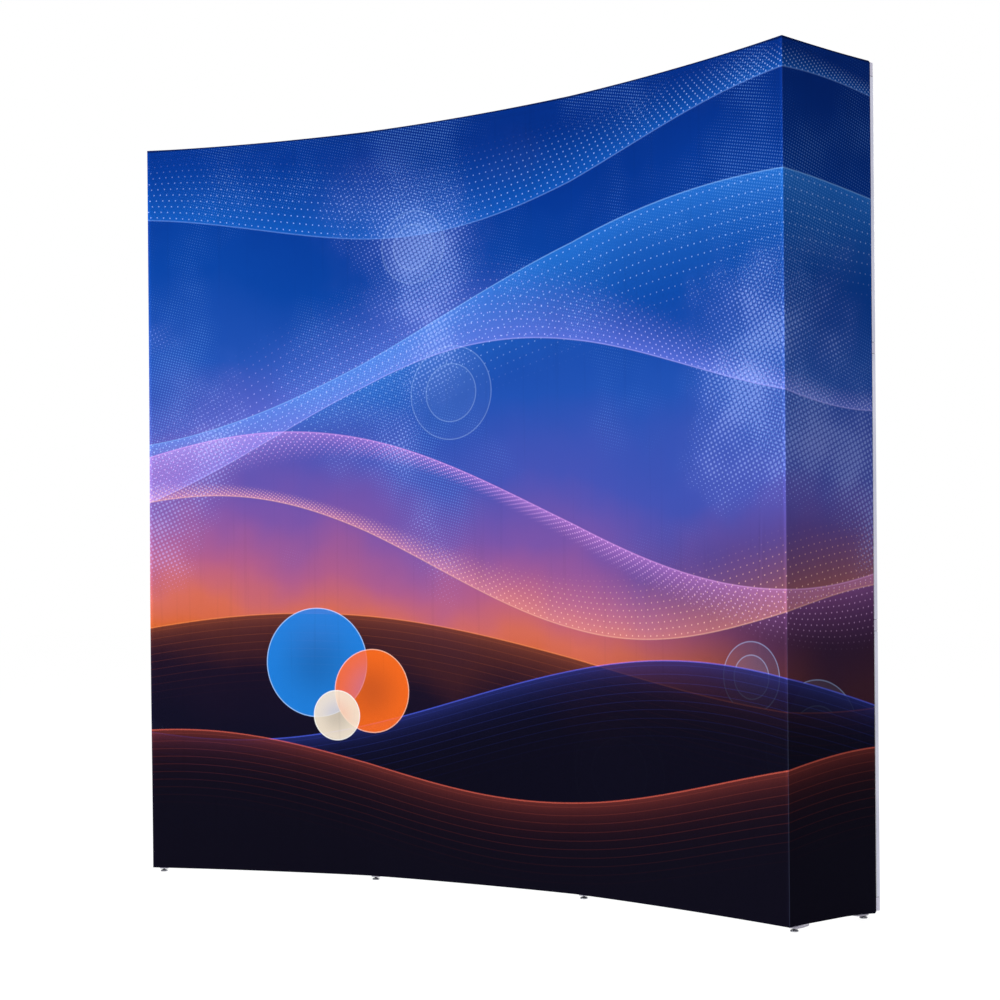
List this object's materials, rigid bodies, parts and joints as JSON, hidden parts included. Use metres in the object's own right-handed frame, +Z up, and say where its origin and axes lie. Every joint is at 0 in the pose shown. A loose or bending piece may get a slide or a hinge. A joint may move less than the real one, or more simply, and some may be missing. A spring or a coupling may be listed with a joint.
{
  "type": "pop up display wall",
  "caption": "Curved free-standing display wall: folding scissor-pole lattice with locking arms and levelling feet under a stretched fabric cover held to rear rails",
  "frame": {"origin": "on the floor, at the middle of the wall's width and depth", "axes": "+X to the right along the wall seen from its hollow front, +Y away from the viewer towards the open back, +Z up"},
  "size_m": [2.3478, 0.5076, 2.2592],
  "materials": {
    "cover_fabric": "stretched polyester with a printed dusk colour blend",
    "hub_plastic": "moulded light grey",
    "dark_plastic": "moulded dark grey",
    "pole_aluminium": "satin anodised tube",
    "steel_pins": "plain",
    "hook_tape": "hook tape",
    "foot_metal": "bright plated",
    "rail_aluminium": "satin anodised channel",
    "holder_plastic": "moulded pale lilac grey"
  },
  "bodies": {
    "frame": {"front_hubs_row_1": "hub_plastic", "front_hubs_row_2": "hub_plastic", "front_hubs_row_3": "hub_plastic", "front_hubs_row_4": "hub_plastic", "back_hubs_row_1": "hub_plastic", "back_hubs_row_2": "hub_plastic", "back_hubs_row_3": "hub_plastic", "back_hubs_row_4": "hub_plastic", "upright_poles_column_1": "pole_aluminium", "upright_poles_column_2": "pole_aluminium", "upright_poles_column_3": "pole_aluminium", "upright_poles_column_4": "pole_aluminium", "crosswise_poles_row_1": "pole_aluminium", "crosswise_poles_row_2": "pole_aluminium", "crosswise_poles_row_3": "pole_aluminium", "crosswise_poles_row_4": "pole_aluminium", "upright_pole_tips": "dark_plastic", "crosswise_pole_tips": "dark_plastic", "upright_pole_rivets": "steel_pins", "crosswise_pole_rivets": "steel_pins", "front_hub_pins": "steel_pins", "back_hub_pins": "steel_pins", "lock_pegs": "steel_pins", "lock_pivot_pins": "steel_pins", "hook_pads": "hook_tape", "foot_lock_nuts": "foot_metal", "foot_saddles": "hub_plastic"},
    "cover": {"cover_front_panel": "cover_fabric", "cover_left_end_panel": "cover_fabric", "cover_right_end_panel": "cover_fabric"},
    "left_rail": {"left_rail_lower_bar": "rail_aluminium", "left_rail_middle_bar": "rail_aluminium", "left_rail_upper_bar": "rail_aluminium", "left_rail_holders": "holder_plastic", "left_rail_hook_strips": "hook_tape"},
    "right_rail": {"right_rail_lower_bar": "rail_aluminium", "right_rail_middle_bar": "rail_aluminium", "right_rail_upper_bar": "rail_aluminium", "right_rail_holders": "holder_plastic", "right_rail_hook_strips": "hook_tape"},
    "left_locking_arm_row_1": {"left_locking_arm_row_1": "dark_plastic"},
    "left_locking_arm_row_2": {"left_locking_arm_row_2": "dark_plastic"},
    "left_locking_arm_row_3": {"left_locking_arm_row_3": "dark_plastic"},
    "left_locking_arm_row_4": {"left_locking_arm_row_4": "dark_plastic"},
    "right_locking_arm_row_1": {"right_locking_arm_row_1": "dark_plastic"},
    "right_locking_arm_row_2": {"right_locking_arm_row_2": "dark_plastic"},
    "right_locking_arm_row_3": {"right_locking_arm_row_3": "dark_plastic"},
    "right_locking_arm_row_4": {"right_locking_arm_row_4": "dark_plastic"},
    "front_foot_1": {"front_foot_1": "foot_metal"},
    "front_foot_2": {"front_foot_2": "foot_metal"},
    "front_foot_3": {"front_foot_3": "foot_metal"},
    "front_foot_4": {"front_foot_4": "foot_metal"},
    "back_foot_1": {"back_foot_1": "foot_metal"},
    "back_foot_2": {"back_foot_2": "foot_metal"},
    "back_foot_3": {"back_foot_3": "foot_metal"},
    "back_foot_4": {"back_foot_4": "foot_metal"}
  },
  "joints": [
    {"name": "cover_pull_off", "type": "slide", "parent": "frame", "child": "cover", "axis": [0, -1, 0], "range_m": [0, 0.6]},
    {"name": "left_rail_unhook", "type": "slide", "parent": "frame", "child": "left_rail", "axis": [-0.3598, 0.933, 0], "range_m": [0, 0.05]},
    {"name": "right_rail_unhook", "type": "slide", "parent": "frame", "child": "right_rail", "axis": [0.3598, 0.933, 0], "range_m": [0, 0.05]},
    {"name": "left_locking_arm_row_1_swing", "type": "hinge", "parent": "frame", "child": "left_locking_arm_row_1", "pos_m": [-0.38471, 0.20507, 0.038], "axis": [-0.9925, -0.1224, 0], "range_deg": [0, 60]},
    {"name": "left_locking_arm_row_2_swing", "type": "hinge", "parent": "frame", "child": "left_locking_arm_row_2", "pos_m": [-0.38471, 0.20507, 0.7714], "axis": [-0.9925, -0.1224, 0], "range_deg": [0, 60]},
    {"name": "left_locking_arm_row_3_swing", "type": "hinge", "parent": "frame", "child": "left_locking_arm_row_3", "pos_m": [-0.38471, 0.20507, 1.5048], "axis": [-0.9925, -0.1224, 0], "range_deg": [0, 60]},
    {"name": "left_locking_arm_row_4_swing", "type": "hinge", "parent": "frame", "child": "left_locking_arm_row_4", "pos_m": [-0.38471, 0.20507, 2.2382], "axis": [-0.9925, -0.1224, 0], "range_deg": [0, 60]},
    {"name": "right_locking_arm_row_1_swing", "type": "hinge", "parent": "frame", "child": "right_locking_arm_row_1", "pos_m": [0.38471, 0.20507, 0.038], "axis": [-0.9925, 0.1224, 0], "range_deg": [0, 60]},
    {"name": "right_locking_arm_row_2_swing", "type": "hinge", "parent": "frame", "child": "right_locking_arm_row_2", "pos_m": [0.38471, 0.20507, 0.7714], "axis": [-0.9925, 0.1224, 0], "range_deg": [0, 60]},
    {"name": "right_locking_arm_row_3_swing", "type": "hinge", "parent": "frame", "child": "right_locking_arm_row_3", "pos_m": [0.38471, 0.20507, 1.5048], "axis": [-0.9925, 0.1224, 0], "range_deg": [0, 60]},
    {"name": "right_locking_arm_row_4_swing", "type": "hinge", "parent": "frame", "child": "right_locking_arm_row_4", "pos_m": [0.38471, 0.20507, 2.2382], "axis": [-0.9925, 0.1224, 0], "range_deg": [0, 60]},
    {"name": "front_foot_1_level", "type": "slide", "parent": "frame", "child": "front_foot_1", "axis": [0, 0, -1], "range_m": [-0.0025, 0.008]},
    {"name": "front_foot_2_level", "type": "slide", "parent": "frame", "child": "front_foot_2", "axis": [0, 0, -1], "range_m": [-0.0025, 0.008]},
    {"name": "front_foot_3_level", "type": "slide", "parent": "frame", "child": "front_foot_3", "axis": [0, 0, -1], "range_m": [-0.0025, 0.008]},
    {"name": "front_foot_4_level", "type": "slide", "parent": "frame", "child": "front_foot_4", "axis": [0, 0, -1], "range_m": [-0.0025, 0.008]},
    {"name": "back_foot_1_level", "type": "slide", "parent": "frame", "child": "back_foot_1", "axis": [0, 0, -1], "range_m": [-0.0025, 0.008]},
    {"name": "back_foot_2_level", "type": "slide", "parent": "frame", "child": "back_foot_2", "axis": [0, 0, -1], "range_m": [-0.0025, 0.008]},
    {"name": "back_foot_3_level", "type": "slide", "parent": "frame", "child": "back_foot_3", "axis": [0, 0, -1], "range_m": [-0.0025, 0.008]},
    {"name": "back_foot_4_level", "type": "slide", "parent": "frame", "child": "back_foot_4", "axis": [0, 0, -1], "range_m": [-0.0025, 0.008]}
  ]
}
